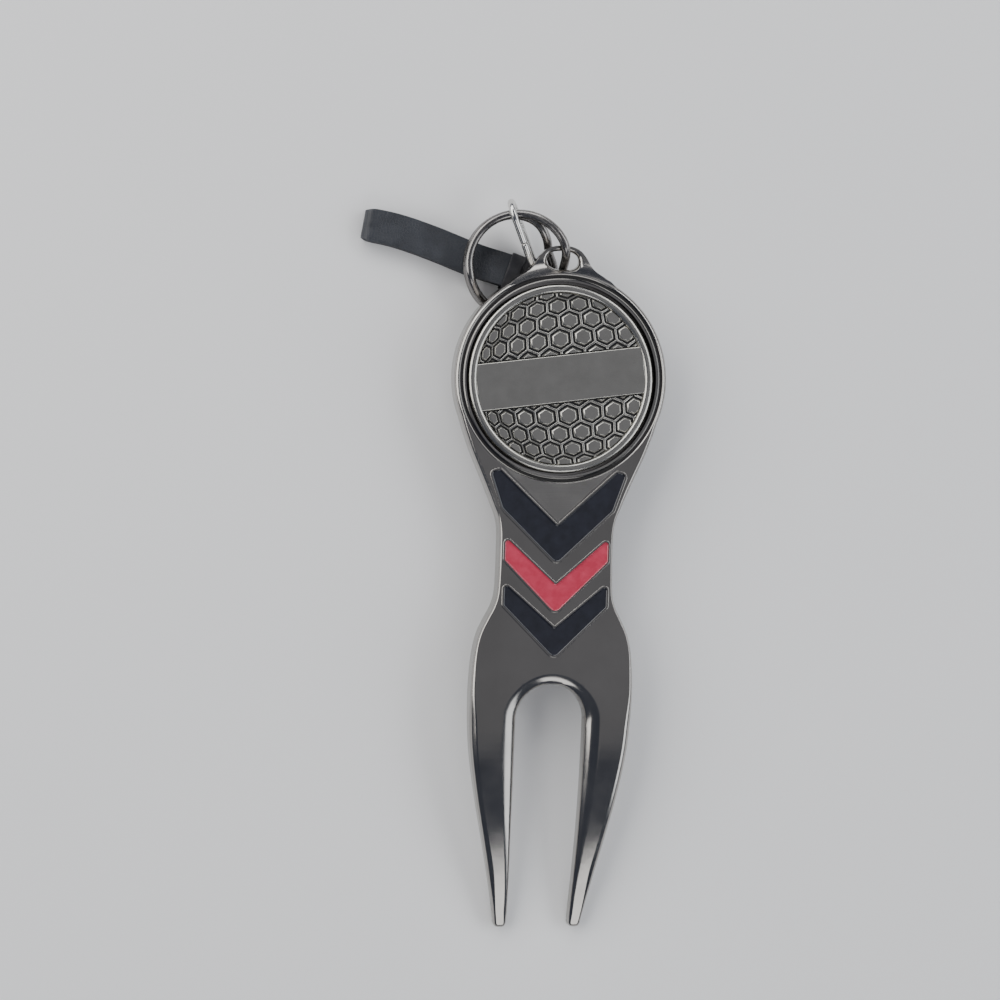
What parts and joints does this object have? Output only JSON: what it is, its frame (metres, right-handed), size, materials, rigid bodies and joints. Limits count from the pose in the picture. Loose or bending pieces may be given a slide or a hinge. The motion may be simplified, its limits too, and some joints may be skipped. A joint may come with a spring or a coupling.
{
  "type": "divot repair tool",
  "caption": "Two-prong divot repair tool with enamel chevrons, a magnetic round ball marker, and a split ring and oval link that carry a short folded strap.",
  "frame": {"origin": "on the resting surface, under the middle of the whole object's box as it lies in the picture", "axes": "+Z out of the show face (the marker side), +Y along the tool from the prong tips to the ring lug, +X across the tool to the right when the lug is at the top"},
  "size_m": [0.0404, 0.0964, 0.0075],
  "materials": {
    "gunmetal": "polished dark gunmetal plating",
    "enamel_black": "glossy black enamel fill",
    "enamel_red": "glossy red enamel fill",
    "magnet_nickel": "nickel plate",
    "marker_metal": "antiqued gunmetal with dark recesses",
    "ring_metal": "polished dark gunmetal plating",
    "link_metal": "bright nickel plate",
    "strap_leather": "smooth black coated leather, folded double"
  },
  "bodies": {
    "tool": {"tool_body": "gunmetal", "enamel_upper": "enamel_black", "enamel_middle": "enamel_red", "enamel_lower": "enamel_black", "magnet": "magnet_nickel"},
    "marker": {"ball_marker": "marker_metal"},
    "ring": {"split_ring": "ring_metal"},
    "link": {"oval_link": "link_metal"},
    "strap_end": {"strap": "strap_leather", "strap_clamp": "ring_metal"}
  },
  "joints": [
    {"name": "marker_lift", "type": "slide", "parent": "tool", "child": "marker", "axis": [0, 0, 1], "range_m": [0, 0.012]},
    {"name": "ring_swing", "type": "hinge", "parent": "tool", "child": "ring", "pos_m": [0.00598, 0.04034, 0.00526], "axis": [0, 0, 1], "range_deg": [-60, 4]},
    {"name": "link_swing", "type": "hinge", "parent": "ring", "child": "link", "pos_m": [-0.00041, 0.04614, 0.0049], "axis": [0, 0, 1], "range_deg": [-6, 1]},
    {"name": "strap_swing", "type": "hinge", "parent": "link", "child": "strap_end", "pos_m": [0.00328, 0.03889, 0.00177], "axis": [0, 0, 1], "range_deg": [-12, 3]}
  ]
}
